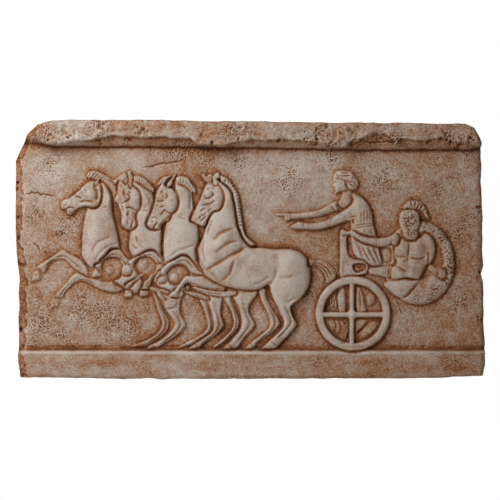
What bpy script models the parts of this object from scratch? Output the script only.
"""Wall relief of cast stone: a slab with a broken cornice above, a ledge below, and a four-horse chariot between.

The casting is one solid. Its flat back lies at Y = 0 and meets the wall, the carving faces -Y, and the origin is
the middle of the back. The front is a surface of heights over the slab: the slab's own mouldings come first, and
the figures are laid over them from the furthest to the nearest, each cutting a valley into what lies behind it.
"""

import math

import bmesh
import bpy
import numpy as np

# Sizes of the casting, in millimetres.
SLAB_WIDTH = 755.0
SLAB_HEIGHT = 417.0
FIELD_THICKNESS = 30.0
CORNICE_HEIGHT = 45.0
CORNICE_PROJECTION = 18.0
LEDGE_HEIGHT = 48.0
LEDGE_PROJECTION = 12.0
FIGURE_HEIGHT = 288.0
RELIEF_DEPTH = 17.0
EDGE_WEAR = 7.0
EDGE_EASE = 80.0
BACK_DRAFT = 2.0

# How far the broken edges stand inside the slab's square outline, in millimetres, by share of each side's length
# from the bottom or from the left.
LEFT_INSET = ((0.0, 10.0), (0.06, 6.0), (0.4, 6.5), (0.5, 2.0), (0.84, 1.0), (0.9, 11.0), (0.96, 22.0), (1.0, 38.0))
RIGHT_INSET = ((0.0, 6.0), (0.05, 0.5), (0.37, 2.0), (0.405, 6.0), (0.44, 3.0), (0.7, 5.0), (0.93, 8.0), (1.0, 17.0))
TOP_INSET = ((0.0, 12.0), (0.07, 4.0), (0.1, 1.0), (0.3, 1.0), (0.6, 4.0), (0.97, 6.5), (1.0, 14.0))
BOTTOM_INSET = ((0.0, 3.5), (0.3, 1.0), (0.9, 2.5), (1.0, 7.0))

# The lip where the cornice's broken underside begins: its height over the cornice's foot, by share of the width.
CORNICE_LIP = (
    (0.0, 0.0), (0.08, 3.0), (0.15, 12.0), (0.22, 18.0), (0.34, 16.0), (0.39, 4.0), (0.44, 2.0), (0.52, 12.0),
    (0.6, 12.0), (0.7, 3.0), (0.76, 21.0), (0.79, 21.0), (0.81, 6.0), (0.83, 14.0), (0.88, 14.0), (1.0, 15.0),
)
UNDERSIDE_SHARE = 0.45

# The figures are drawn in modules, of which their height holds 180. X runs from the slab's middle to the right
# and Z up from the ledge's top. Their depths are in tenths of the relief's depth.
FIGURE_MODULES = 180
MODULE = FIGURE_HEIGHT / FIGURE_MODULES
DEPTH_UNIT = RELIEF_DEPTH / 10
LEDGE_TOP = LEDGE_HEIGHT - SLAB_HEIGHT / 2

# Fineness of the carving and of the faceted solid.
GRID_STEP = 1.9
TRIANGLES = 9600
BACK_TRUING = 0.5
SPANS_PER_NODE = 5
CARVING_BLUR_PASSES = 1

MILLIMETRE = 0.001
STONE_COLOUR = (0.42, 0.31, 0.24, 1.0)
STONE_ROUGHNESS = 0.85


def smooth_step(value):
    """0 below 0 and 1 above 1, with a soft change between."""
    share = np.clip(value, 0.0, 1.0)
    return share * share * (3.0 - 2.0 * share)


def smooth_max(first, second, blend):
    """The larger of two surfaces, with a fillet of about that size where they meet."""
    gap = np.maximum(blend - np.abs(first - second), 0.0) / blend
    return np.maximum(first, second) + blend * 0.25 * gap * gap


def waves(position, seed, longest, octaves=4):
    """A rough line: sines of halving length with seeded phases, between about -1 and 1."""
    random = np.random.default_rng(seed)
    total = np.zeros_like(position, dtype=float)
    for octave in range(octaves):
        length = longest / 2**octave * random.uniform(0.8, 1.25)
        phase = random.uniform(0, 2 * math.pi)
        total = total + np.sin(2 * math.pi * position / length + phase) * 0.6**octave
    return total / 2.0


def smooth_path(nodes, spans=SPANS_PER_NODE):
    """Points of a Catmull-Rom curve through the nodes, with every value of a node carried along."""
    known = np.array(nodes, float)
    if len(known) == 1:
        known = np.vstack([known, known])
        known[1, 0] += 0.01
    padded = np.vstack([2 * known[0] - known[1], known, 2 * known[-1] - known[-2]])
    points = []
    for before, start, end, after in zip(padded, padded[1:], padded[2:], padded[3:]):
        for t in np.arange(spans) / spans:
            bend = 2 * before - 5 * start + 4 * end - after
            twist = 3 * start - before - 3 * end + after
            points.append(0.5 * (2 * start + (end - before) * t + bend * t**2 + twist * t**3))
    points.append(known[-1])
    return np.array(points)


def by_share(value, start, length, stations):
    """The value between stations that are given as shares of a length that begins at start."""
    shares, values = zip(*stations)
    return np.interp((value - start) / length, shares, values)


def turned(start, angle, length):
    """The point at that distance from start, in the direction of an angle in degrees from +X towards +Z."""
    turn = math.radians(angle)
    return start[0] + length * math.cos(turn), start[1] + length * math.sin(turn)


class Carving:
    """The front of the slab: a grid of points in modules, and the height of each over the field in depth units."""

    def __init__(self, x, z, height):
        self.x = x
        self.z = z
        self.height = height
        self.columns = x[len(x) // 2]
        self.rows = z[:, x.shape[1] // 2]

    def window(self, path, margin):
        """The part of the grid that holds a path and a margin around it."""
        reach = path[:, 2].max() + margin
        left, right = path[:, 0].min() - reach, path[:, 0].max() + reach
        low, high = path[:, 1].min() - reach, path[:, 1].max() + reach
        columns = slice(*np.searchsorted(self.columns, (left, right)))
        rows = slice(*np.searchsorted(self.rows, (low, high)))
        return rows, columns

    def nearest(self, path, part):
        """Distance from each point of a window to the path's edge, negative inside, and to its middle as a share."""
        x, z = self.x[part], self.z[part]
        edge = np.full(x.shape, np.inf)
        share = np.full(x.shape, np.inf)
        width = np.zeros(x.shape)
        for (x0, z0, r0), (x1, z1, r1) in zip(path[:, :3], path[1:, :3]):
            along = (x - x0) * (x1 - x0) + (z - z0) * (z1 - z0)
            t = np.clip(along / max((x1 - x0) ** 2 + (z1 - z0) ** 2, 1e-9), 0.0, 1.0)
            distance = np.hypot(x - x0 - t * (x1 - x0), z - z0 - t * (z1 - z0))
            radius = r0 + (r1 - r0) * t
            closer = distance - radius < edge
            edge = np.where(closer, distance - radius, edge)
            share = np.where(closer, distance / radius, share)
            width = np.where(closer, radius, width)
        return edge, share, width

    def lay(self, level, bars, blend=1.6, valley=3.5, wall=0.9, fullness=1.0):
        """Lays a figure made of round bars over the carving, and cuts a valley around it into what is behind."""
        paths = [smooth_path(bar) for bar in bars]
        part = self.window(np.vstack(paths), valley + 2.0)
        edge, dome = None, None
        for path in paths:
            bar_edge, share, width = self.nearest(path, part)
            rise = fullness * 1.05 * np.power(np.maximum(width, 0.2), 0.6)
            bar_dome = rise * np.sqrt(np.clip(1.0 - share**2.2, 0.0, 1.0)) - np.maximum(bar_edge, 0.0)
            if edge is None:
                edge, dome = bar_edge, bar_dome
            else:
                edge = -smooth_max(-edge, -bar_edge, blend)
                dome = smooth_max(dome, bar_dome, blend)
        self.merge(part, level, edge, dome, valley, wall)

    def merge(self, part, level, edge, dome, valley, wall):
        """Sets a form over the carving: its edge is 0 on its outline and its dome rises from the level."""
        under = self.height[part]
        cut = level + (under - level) * smooth_step(edge / valley)
        under = np.where(under > level, cut, under) - 0.35 * np.exp(-((edge / 0.9) ** 2))
        over = level + np.maximum(dome, 0.0)
        self.height[part] = under + (over - under) * smooth_step(-edge / wall)

    def swell(self, nodes, rise):
        """Raises a soft swelling with no edge, such as a muscle; a negative rise sinks a hollow."""
        path = smooth_path(nodes)
        part = self.window(path, 0.5)
        share = np.minimum(self.nearest(path, part)[1], 1.0)
        self.height[part] += rise * (1.0 - share**2) ** 2

    def groove(self, nodes, width, depth):
        """Cuts a line of that half width and depth."""
        path = smooth_path([(*node, 0.05) for node in nodes])
        part = self.window(path, 3.0 * width)
        distance = np.maximum(self.nearest(path, part)[0], 0.0)
        self.height[part] -= depth * np.exp(-((distance / width) ** 2))

    def soften(self, passes):
        """Rounds the surface as a worn cast is, by averaging each point with its neighbours."""
        for _ in range(passes):
            for axis in (0, 1):
                before = np.roll(self.height, 1, axis)
                after = np.roll(self.height, -1, axis)
                inner = (slice(1, -1), slice(1, -1))
                self.height[inner] = (0.5 * self.height + 0.25 * (before + after))[inner]


# How the horses are built, in modules. A head's values are shares of its length.
HEAD_BARS = (
    ((0.17, 0.01, 0.17), (0.38, 0.10, 0.215), (0.6, 0.05, 0.155), (0.84, 0.02, 0.135)),
    ((0.14, -0.09, 0.07), (0.5, -0.06, 0.08), (0.9, -0.06, 0.08)),
)
EAR = ((0.12, 0.04, 0.06), (0.0, 0.07, 0.065), (-0.1, 0.085, 0.03))
EYE_AT = (0.25, -0.05)
NOSTRIL_AT = (0.88, -0.06)
MOUTH_LINE = ((0.99, 0.03), (0.86, 0.06), (0.72, 0.09))
JAW_LINE = ((0.5, -0.02), (0.56, 0.08), (0.52, 0.2))
HIND_GASKIN = 34.0
HIND_CANNON = 26.0
HIND_PASTERN = 11.0
HOOF_LENGTH = 8.5
HOOF_RADII = (3.2, 4.0)
SOLE_SPREAD = 3.0
SOLE_RADIUS = 2.4

# Near side first: each horse stands further left and deeper than the one before it.
HORSE_LEVELS = (2.8, 2.0, 1.2, 0.4)
NECKS = (
    ((-23, 168, 7), (-19, 155, 9), (-20, 141, 12), (-23, 127, 16.5), (-26, 111, 21.5), (-27, 97, 21)),
    ((-65, 166, 8), (-64, 152, 9.5), (-66, 137, 13), (-68, 122, 17), (-69, 106, 18.5), (-69, 95, 18)),
    ((-110, 164, 9), (-105, 150, 10), (-104, 135, 12), (-104, 120, 16), (-104, 105, 18)),
    ((-147, 158, 9.5), (-149, 144, 13), (-151, 130, 15.5), (-150, 115, 18.5), (-149, 99, 20)),
)
CRESTS = (
    ((-28, 173), (-20, 169), (-14.5, 160), (-11.5, 149), (-9.5, 136), (-8, 122), (-5, 113), (1, 108)),
    ((-70, 174), (-62, 170), (-56, 161), (-54, 156)),
    ((-115, 172), (-106, 168), (-99, 160), (-97, 155)),
    ((-164, 173), (-159, 177), (-152, 177.5), (-145, 175), (-139.5, 169.5), (-136, 161), (-134, 151)),
)
MANE_WIDTH = 2.8
TUFT_SPACING = 4.0
HEADS = (((-36, 172), 250.0, 50.0), ((-80, 172), 250.5, 54.0), ((-120, 174), 269.0, 56.0), ((-152, 166), 213.0, 46.0))
NEAR_BARREL = ((-30, 96, 21), (-15, 83, 21), (2, 81.5, 22), (20, 83, 18.5), (38, 79, 22))
NEAR_HAUNCH = ((38, 79, 22), (38.5, 61, 20), (37, 50, 14), (35.5, 43, 8))

# Hind legs, far one then near one of each horse: hock, gaskin's and cannon's angles, girth of the gaskin and cannon.
HIND_LEGS = (
    (((27, 27), 119, 222, 5.0, 3.9), ((40.5, 26), 97, 231, 7.0, 4.7)),
    (((-11, 27), 112, 224, 4.2, 3.5), ((-1, 28), 103, 232, 9.5, 4.8)),
    (((-44, 26), 108, 222, 4.6, 3.4), ((-30.5, 27), 99, 221, 8.8, 5.0)),
    (((-87, 28), 105, 226, 4.3, 3.4), ((-70.5, 27), 116, 221, 9.5, 5.2)),
)

# Forelegs from the far side: horse, knee, forearm's angle and length, cannon's angle and length, hoof's angle.
FORE_LEGS = (
    (3, (-172, 74), 348, 40, 227, 26, 241),
    (3, (-187, 97), 329, 24, 214, 25, 243),
    (2, (-106, 78), 40, 8, 221, 21, 264),
    (2, (-96, 80), 60, 8, 241, 18, 263),
    (2, (-136, 99), 322, 15, 221, 21, 258),
    (1, (-100, 99), 318, 15, 211, 21, 239),
    (0, (-66, 94), 308, 20, 216, 28, 277),
)
NEAR_FORE_LEG = ((-63, 72), 352, 34, 229, 20, 248)
FORE_RADII = (5.8, 4.8, 3.9, 4.5)
KNOBS = ((-140, 82, 6), (-106, 87, 7), (-73, 73, 6.3), (-64, 63, 3.6))
BELLY_BARS = (((-66, 60, 2.5), (-50, 55, 4.5), (-38, 53, 3.5)), ((-55, 61, 3), (-35, 58, 5), (-20, 57, 4.5)))
TAIL = ((61, 88, 2), (70, 86.5, 3.6), (77, 82, 6), (80, 75, 6.4), (79, 67, 4))

# The chariot.
WHEEL_CENTRE = (102.5, 36.0)
WHEEL_RADIUS = 38.3
RIM_WIDTH = 9.2
SPOKE_RADIUS = 3.1
HUB_RADIUS = 5.0
CHARIOT_LEVEL = 1.0
BOARD = ((94, 116, 3.4), (94, 100, 3.6), (95, 86, 5.0), (97, 76, 6.0))
RAIL = ((100, 92, 2.4), (110, 90, 2.4), (117.5, 85.5, 2.4), (118, 80, 2.4), (114, 76.5, 2.4), (103, 75, 2.4))

# The two riders.
DRIVER_HEAD = (93, 167)
DRIVER_BODY = ((106, 147, 8), (110, 136, 12.5), (113, 124, 12.5), (115, 104, 14), (120, 90, 12))
DRIVER_NEAR_ARM = ((107, 145, 7), (95, 136, 6), (82, 129, 5.2), (65, 124.5, 4.6), (53, 124, 3.8), (44, 123.5, 4.2))
DRIVER_FAR_ARM = ((92, 145, 6), (80, 142, 5), (68, 137, 4), (50, 134, 3.3), (37, 133, 3.4), (26, 135.5, 1.1))
WARRIOR_HEAD = (159, 132)
WARRIOR_BODY = ((163, 105, 18.5), (161, 90, 15.5), (154, 77, 13))
WARRIOR_FAR_ARM = ((92, 117, 3.2), (105, 116, 4), (118, 111, 4.6), (132, 108, 4.8), (146, 110, 7))
WARRIOR_NEAR_ARM = ((178, 106, 7.5), (181, 96, 5.6), (179.5, 87, 5), (188, 81, 4.6), (196, 78, 5))
WARRIOR_THIGHS = (((120, 79, 5), (131, 79, 6), (145, 78, 8)), ((137, 66, 5), (149, 62.5, 10.5), (161, 64, 9)))
SHIELD_CENTRE = (170, 87)
SHIELD_RADII = (36, 43)
SHIELD_RIM = 14.0


def carve_head(carving, level, poll, angle, length):
    """One horse's head in profile, pointing along the angle, with its ear, eye, nostril, mouth and jaw."""

    def place(along, across):
        return turned(turned(poll, angle, along * length), angle + 90, across * length)

    bars = [[(*place(u, v), r * length) for u, v, r in bar] for bar in HEAD_BARS]
    carving.lay(level, bars, valley=4.5)
    carving.swell([(*place(0.37, 0.1), 0.2 * length)], 1.0)
    carving.groove([place(*point) for point in JAW_LINE], 1.2, 0.9)
    carving.groove([place(*point) for point in MOUTH_LINE], 0.8, 0.9)
    for at, size in ((EYE_AT, 0.06), (NOSTRIL_AT, 0.04)):
        carving.swell([(*place(*at), 2.2 * size * length)], 1.2)
        carving.swell([(*place(*at), size * length)], -1.4)
    carving.lay(level + 2.2, [[(*place(u, v), r * length) for u, v, r in EAR]], valley=1.5)


def carve_mane(carving, crest):
    """Parts a mane into tufts with evenly spaced cuts across it, and from the neck with a line along its inner side."""
    path = smooth_path([(*point, MANE_WIDTH) for point in crest], 8)
    steps = np.hypot(*np.diff(path[:, :2], axis=0).T)
    travelled = np.concatenate([[0.0], np.cumsum(steps)])
    heading = np.gradient(path[:, :2], axis=0)
    normal = np.stack([-heading[:, 1], heading[:, 0]], axis=1) / np.hypot(*heading.T)[:, None]
    inner = path[:, :2] - 1.1 * MANE_WIDTH * normal
    carving.groove(inner[4::6], 0.8, 0.7)
    for stop in np.arange(TUFT_SPACING, travelled[-1], TUFT_SPACING):
        middle = np.array([np.interp(stop, travelled, path[:, axis]) for axis in (0, 1)])
        side = np.array([np.interp(stop, travelled, normal[:, axis]) for axis in (0, 1)])
        carving.groove([middle - 0.4 * MANE_WIDTH * side, middle + 1.3 * MANE_WIDTH * side], 0.7, 1.1)


def carve_hind_leg(carving, level, hock, gaskin_angle, cannon_angle, girth, cannon_radius):
    """A standing hind leg: gaskin above the hock, cannon, pastern and a hoof on the ledge."""
    stifle = turned(hock, gaskin_angle, HIND_GASKIN)
    middle = turned(hock, gaskin_angle, HIND_GASKIN / 2)
    fetlock = turned(hock, cannon_angle, HIND_CANNON)
    shin = turned(hock, cannon_angle, HIND_CANNON / 2)
    toe = turned(fetlock, 205, HIND_PASTERN)
    leg = (
        (*stifle, 1.1 * girth),
        (*middle, 0.55 * (girth + cannon_radius)),
        (*hock, 1.35 * cannon_radius),
        (*shin, 0.95 * cannon_radius),
        (*fetlock, 0.95 * cannon_radius),
    )
    hoof = ((*fetlock, 0.75 * cannon_radius), (*toe, 0.6 * cannon_radius))
    carving.lay(level, [leg, hoof])


def fore_leg_bars(knee, forearm_angle, forearm, cannon_angle, cannon, hoof_angle):
    """A bent foreleg in the air, as bars: elbow to knee to fetlock, and the hoof with its flat sole."""
    elbow = turned(knee, forearm_angle, forearm)
    arm = turned(knee, forearm_angle, forearm / 2)
    fetlock = turned(knee, cannon_angle, cannon)
    shin = turned(knee, cannon_angle, cannon / 2)
    pastern = turned(fetlock, hoof_angle, 2.0)
    toe = turned(pastern, hoof_angle, HOOF_LENGTH)
    wide, at_knee, thin, at_fetlock = FORE_RADII
    limb = ((*elbow, wide), (*arm, 0.95 * wide), (*knee, at_knee), (*shin, thin), (*fetlock, at_fetlock))
    hoof = ((*pastern, HOOF_RADII[0]), (*toe, HOOF_RADII[1]))
    sole = [(*turned(toe, hoof_angle + side, SOLE_SPREAD), SOLE_RADIUS) for side in (-75, 75)]
    return [limb, hoof, sole]


def carve_horses(carving):
    """The team of four, from the furthest to the nearest."""
    for index in reversed(range(len(HORSE_LEVELS))):
        level = HORSE_LEVELS[index]
        far_hind, near_hind = HIND_LEGS[index]
        carve_hind_leg(carving, level - 0.6, *far_hind)
        if index == 0:
            for bar in BELLY_BARS:
                carving.lay(level - 1.0, [bar])
        for horse, *fore_leg in FORE_LEGS:
            if horse == index and horse in (0, 3):
                carving.lay(level - 0.3, fore_leg_bars(*fore_leg))
        crest = [(*point, MANE_WIDTH) for point in CRESTS[index]]
        if index:
            carve_hind_leg(carving, level, *near_hind)
            carving.lay(level, [NECKS[index], crest], blend=1.2, valley=5.0)
        else:
            carve_near_body(carving, level, crest)
        carve_mane(carving, CRESTS[index])
        carve_head(carving, level + 1.2, *HEADS[index])
        for horse, *fore_leg in FORE_LEGS:
            if horse == index and horse in (1, 2):
                carving.lay(level + 1.0, fore_leg_bars(*fore_leg))
        carving.swell([KNOBS[index]], 2.0)


def carve_near_body(carving, level, crest):
    """The whole near horse: barrel, neck, haunch, hind leg and raised foreleg in one figure, then its muscles."""
    hock, gaskin_angle, cannon_angle, girth, cannon_radius = HIND_LEGS[0][1]
    fetlock = turned(hock, cannon_angle, HIND_CANNON - 2)
    shin = turned(hock, cannon_angle, HIND_CANNON / 2)
    leg = (
        NEAR_HAUNCH[-1],
        (*turned(hock, gaskin_angle, 9), girth),
        (*hock, 1.35 * cannon_radius),
        (*shin, cannon_radius),
        (*fetlock, cannon_radius),
    )
    hoof = ((*turned(fetlock, 205, 3), 0.8 * cannon_radius), (*turned(fetlock, 205, 12), 0.6 * cannon_radius))
    bars = [NEAR_BARREL, NECKS[0], crest, NEAR_HAUNCH, leg, hoof, *fore_leg_bars(*NEAR_FORE_LEG)]
    carving.lay(level, bars, blend=2.4, valley=5.0)
    carving.swell([(-14, 96, 9), (-24, 88, 11), (-34, 78, 9)], 1.3)
    carving.swell([(-42, 108, 6), (-44, 92, 8), (-42, 80, 7)], 1.0)
    carving.swell([(42, 62, 16)], 1.4)
    carving.groove([(-10, 106), (-24, 101), (-36, 90), (-41, 78)], 1.8, 1.0)
    carving.groove([(-6, 100), (-10, 84), (-24, 72)], 1.8, 0.7)
    carving.groove([(25, 88), (22, 76), (13, 67)], 2.0, 1.1)
    carving.groove([(28, 74), (36, 74), (46, 77)], 2.2, 0.8)
    carving.lay(level - 0.5, [TAIL])


def carve_shield(carving):
    """The round shield seen from its hollow side: a raised rim around a dish."""
    (x, z), (wide, high) = SHIELD_CENTRE, SHIELD_RADII
    part = carving.window(np.array([(x, z, high)]), 4.0)
    edge = (np.hypot((carving.x[part] - x) / wide, (carving.z[part] - z) / high) - 1.0) * wide
    across_rim = np.clip(-edge / SHIELD_RIM, 0.0, 1.0)
    carving.merge(part, 0.6, edge, 4.2 * np.sin(math.pi * across_rim) ** 0.6, 3.0, 1.2)


def carve_wheel(carving):
    """The near wheel: a round rim with four spokes and a hub, and the recess between them."""
    x, z = WHEEL_CENTRE
    middle = WHEEL_RADIUS - RIM_WIDTH / 2
    rim = [
        (x + middle * math.cos(turn), z + middle * math.sin(turn), RIM_WIDTH / 2)
        for turn in np.linspace(0, 2 * math.pi, 25)
    ]
    spokes = [
        [(*turned(WHEEL_CENTRE, angle, reach), SPOKE_RADIUS) for reach in (0, middle)] for angle in (0, 90, 180, 270)
    ]
    recess = np.array([(x, z, WHEEL_RADIUS)])
    part = carving.window(recess, 4.0)
    inside = WHEEL_RADIUS - RIM_WIDTH / 2 - np.hypot(carving.x[part] - x, carving.z[part] - z)
    carving.height[part] -= 0.35 * carving.height[part] * smooth_step(inside / 3.0)
    hub = [(x, z, HUB_RADIUS)]
    carving.lay(CHARIOT_LEVEL + 1.4, [rim, *spokes, hub], blend=1.2, valley=3.0)


def carve_driver(carving):
    """The driver leans forward with both arms out: far arm, skirt, body, head and then the near arm."""
    x, z = DRIVER_HEAD
    carving.lay(1.0, [DRIVER_FAR_ARM])
    carving.lay(1.2, [DRIVER_BODY], valley=4.0)
    for fold in range(4):
        carving.groove([(102 + 6 * fold, 112), (106 + 6.5 * fold, 98), (114 + 6 * fold, 87)], 1.2, 1.2)
    carving.groove([(100, 124), (110, 126), (124, 127)], 0.9, 0.9)
    skull = ((x, z, 11.0), (x + 4, z - 1, 10.5))
    face = ((x - 6, z + 2, 5.0), (x - 7, z - 6, 4.2), (x - 4, z - 10, 3.6))
    hair = ((x - 4, z + 8, 3.6), (x + 6, z + 9, 4.0), (x + 13, z + 2, 3.8), (x + 13, z - 5, 3.2))
    carving.lay(1.4, [[(97, 155, 5.5), (101, 149, 7)], skull, face], valley=3.0)
    carving.lay(2.6, [hair, ((x + 4, z + 3, 7.0), (x + 9, z - 2, 6.0))], valley=1.5)
    carving.swell([(x - 11, z - 1, 1.8)], 1.2)
    carving.swell([(x - 6, z, 2.4)], -0.9)
    carving.groove([(x - 10, z - 6), (x - 6, z - 6.5)], 0.6, 0.6)
    carving.lay(2.4, [DRIVER_NEAR_ARM], valley=3.0)


def carve_warrior(carving):
    """The seated rider: far thigh, body and far arm, near thigh, near arm, head and crested helmet."""
    x, z = WARRIOR_HEAD
    carving.lay(1.6, [WARRIOR_THIGHS[0]])
    carving.lay(2.2, [WARRIOR_BODY, WARRIOR_FAR_ARM, [(161, 118, 6.5)]], blend=2.0, valley=4.0)
    for side in (-1, 1):
        carving.swell([(160 + 8 * side, 101, 8.5)], 1.1)
        carving.swell([(158 + 4 * side, 85, 5.0)], 0.6)
    carving.groove([(159, 112), (158.5, 100), (156, 80)], 0.9, 0.9)
    carving.groove([(146, 95), (158, 92.5), (173, 94)], 1.1, 1.0)
    carving.lay(3.0, [WARRIOR_THIGHS[1]], valley=4.0)
    carving.lay(2.6, [WARRIOR_NEAR_ARM])
    carving.lay(2.6, [((x, z + 2, 10.8), (x + 1, z - 4, 9.6))], valley=3.5)
    crest = ((x - 5, z + 12, 2.6), (x + 5, z + 14.5, 3.8), (x + 14, z + 10, 3.6), (x + 18, z + 1, 2.4))
    carving.lay(2.2, [crest], valley=2.0)
    for tuft in range(7):
        turn = 115 - 18 * tuft
        carving.groove([turned((x + 2, z), turn, 11), turned((x + 3, z), turn, 19)], 0.6, 0.9)
    carving.groove([(x - 10, z + 1), (x, z + 2.5), (x + 10, z + 1)], 0.9, 0.9)


def carve_chariot(carving):
    """The two riders, the car and its wheel, from back to front."""
    carve_driver(carving)
    carve_shield(carving)
    carve_warrior(carving)
    carving.lay(1.8, [BOARD, RAIL], blend=1.2)
    carve_wheel(carving)
    for toe in ((153, 39, 2.4), (150, 41, 2.2)):
        carving.lay(0.4, [[(144.5, 49, 2.2), toe]])


def outline(x, z):
    """Moves the grid's border points onto the casting's broken outline, in millimetres, easing off inwards."""
    left, bottom = -SLAB_WIDTH / 2, -SLAB_HEIGHT / 2
    moved_x, moved_z = x.copy(), z.copy()
    sides = (
        (moved_x, x - left, 1, z, bottom, SLAB_HEIGHT, LEFT_INSET),
        (moved_x, left + SLAB_WIDTH - x, -1, z, bottom, SLAB_HEIGHT, RIGHT_INSET),
        (moved_z, bottom + SLAB_HEIGHT - z, -1, x, left, SLAB_WIDTH, TOP_INSET),
        (moved_z, z - bottom, 1, x, left, SLAB_WIDTH, BOTTOM_INSET),
    )
    for seed, (moved, distance, inwards, along, start, length, stations) in enumerate(sides):
        inset = by_share(along, start, length, stations) + 0.8 * (1.0 + waves(along, 11 + seed, 90.0))
        moved += inwards * inset * np.clip(1.0 - distance / EDGE_EASE, 0.0, 1.0) ** 1.5
    return moved_x, moved_z


def slab_front(x, z):
    """The slab's own front over the field, in millimetres: its ledge and its broken, rough cornice."""
    ledge = LEDGE_PROJECTION * smooth_step((LEDGE_TOP + 2.0 - z) / 7.0)
    foot = SLAB_HEIGHT / 2 - CORNICE_HEIGHT
    lip = foot + by_share(x, -SLAB_WIDTH / 2, SLAB_WIDTH, CORNICE_LIP) + waves(x, 21, 70.0)
    to_lip = np.clip((z - foot) / np.maximum(lip - foot, 1.0), 0.0, 1.0)
    share = UNDERSIDE_SHARE + (0.8 - UNDERSIDE_SHARE) * to_lip + 0.2 * smooth_step((z - lip) / 4.0)
    lean = 0.12 * np.clip((z - lip) / CORNICE_HEIGHT, 0.0, 1.0)
    roughness = 1.5 * waves(x + 0.6 * z, 22, 60.0) * waves(z - 0.3 * x, 23, 45.0)
    cornice = (CORNICE_PROJECTION * (share - lean) + roughness) * smooth_step((z - foot) / 2.5)
    return np.maximum(ledge, cornice)


def edge_drop(x, z):
    """How far the front falls away near the casting's edges, in millimetres."""
    rows, columns = x.shape
    left = np.hypot(x - x[:, :1], 0.0)
    right = np.hypot(x[:, -1:] - x, 0.0)
    below = z - z[:1]
    above = z[-1:] - z
    chipped = 6.0 + 5.0 * np.abs(waves(z, 31, 50.0))
    drop = EDGE_WEAR * (1.0 - smooth_step(left / (1.8 * chipped)))
    for distance, reach in ((right, 8.0), (below, 6.0), (above, 9.0)):
        drop = np.maximum(drop, 0.8 * EDGE_WEAR * (1.0 - np.sqrt(np.clip(distance / reach, 0.0, 1.0))))
    return drop


def front_surface():
    """The finished front as arrays of X, Z and height over the back, in millimetres."""
    columns = max(2, round(SLAB_WIDTH / GRID_STEP)) + 1
    rows = max(2, round(SLAB_HEIGHT / GRID_STEP)) + 1
    across = np.linspace(-SLAB_WIDTH / 2, SLAB_WIDTH / 2, columns)
    up = np.linspace(-SLAB_HEIGHT / 2, SLAB_HEIGHT / 2, rows)
    x, z = outline(*np.meshgrid(across, up))
    start = slab_front(x, z) / DEPTH_UNIT
    carving = Carving(x / MODULE, (z - LEDGE_TOP) / MODULE, start)
    carve_horses(carving)
    carve_chariot(carving)
    carving.soften(CARVING_BLUR_PASSES)
    depth = FIELD_THICKNESS + carving.height * DEPTH_UNIT - edge_drop(x, z)
    return x, z, depth


def relief_mesh(name):
    """A closed mesh from the front surface: the front grid, side walls that draw in slightly, and a flat back."""
    x, z, depth = front_surface()
    rows, columns = x.shape
    points = np.stack([x, -depth, z], axis=-1).reshape(-1, 3) * MILLIMETRE
    index = np.arange(rows * columns).reshape(rows, columns)
    faces = np.stack([index[:-1, :-1], index[:-1, 1:], index[1:, 1:], index[1:, :-1]], axis=-1).reshape(-1, 4)
    rim = np.concatenate([index[0, :-1], index[:-1, -1], index[-1, :0:-1], index[:0:-1, 0]])
    shrink = 1.0 - 2.0 * BACK_DRAFT / np.array([SLAB_WIDTH, 1.0, SLAB_HEIGHT])
    back = points[rim] * shrink * (1.0, 0.0, 1.0)
    behind = len(points) + np.arange(len(rim))
    following = np.roll(np.arange(len(rim)), -1)
    walls = np.stack([rim, behind, behind[following], rim[following]], axis=-1)
    mesh = bpy.data.meshes.new(name)
    mesh.from_pydata(np.vstack([points, back]).tolist(), [], [*faces.tolist(), *walls.tolist(), behind[::-1].tolist()])
    shape = bmesh.new()
    shape.from_mesh(mesh)
    bmesh.ops.triangulate(shape, faces=shape.faces[:])
    bmesh.ops.recalc_face_normals(shape, faces=shape.faces[:])
    shape.to_mesh(mesh)
    shape.free()
    return mesh


def stone_material():
    """Cast stone with a warm brown wash: matt and not metallic."""
    material = bpy.data.materials.new("washed_cast_stone")
    material.use_nodes = True
    shader = material.node_tree.nodes["Principled BSDF"]
    shader.inputs["Base Color"].default_value = STONE_COLOUR
    shader.inputs["Roughness"].default_value = STONE_ROUGHNESS
    shader.inputs["Metallic"].default_value = 0.0
    return material


def thinned(relief, triangles):
    """The relief's mesh with only the facets that its forms need, and its back set true to the wall's plane."""
    thin = relief.modifiers.new("facets", "DECIMATE")
    thin.ratio = triangles / len(relief.data.polygons)
    mesh = bpy.data.meshes.new_from_object(relief.evaluated_get(bpy.context.evaluated_depsgraph_get()))
    relief.modifiers.remove(thin)
    for vertex in mesh.vertices:
        if vertex.co.y > -BACK_TRUING * MILLIMETRE:
            vertex.co.y = 0.0
    return mesh


def build():
    """The whole relief as one object."""
    for old in list(bpy.data.objects):
        bpy.data.objects.remove(old)
    mesh = relief_mesh("stone_relief")
    mesh.materials.append(stone_material())
    relief = bpy.data.objects.new("stone_relief", mesh)
    bpy.context.scene.collection.objects.link(relief)
    relief.data = thinned(relief, TRIANGLES)
    relief.data.shade_smooth()
    return relief


build()
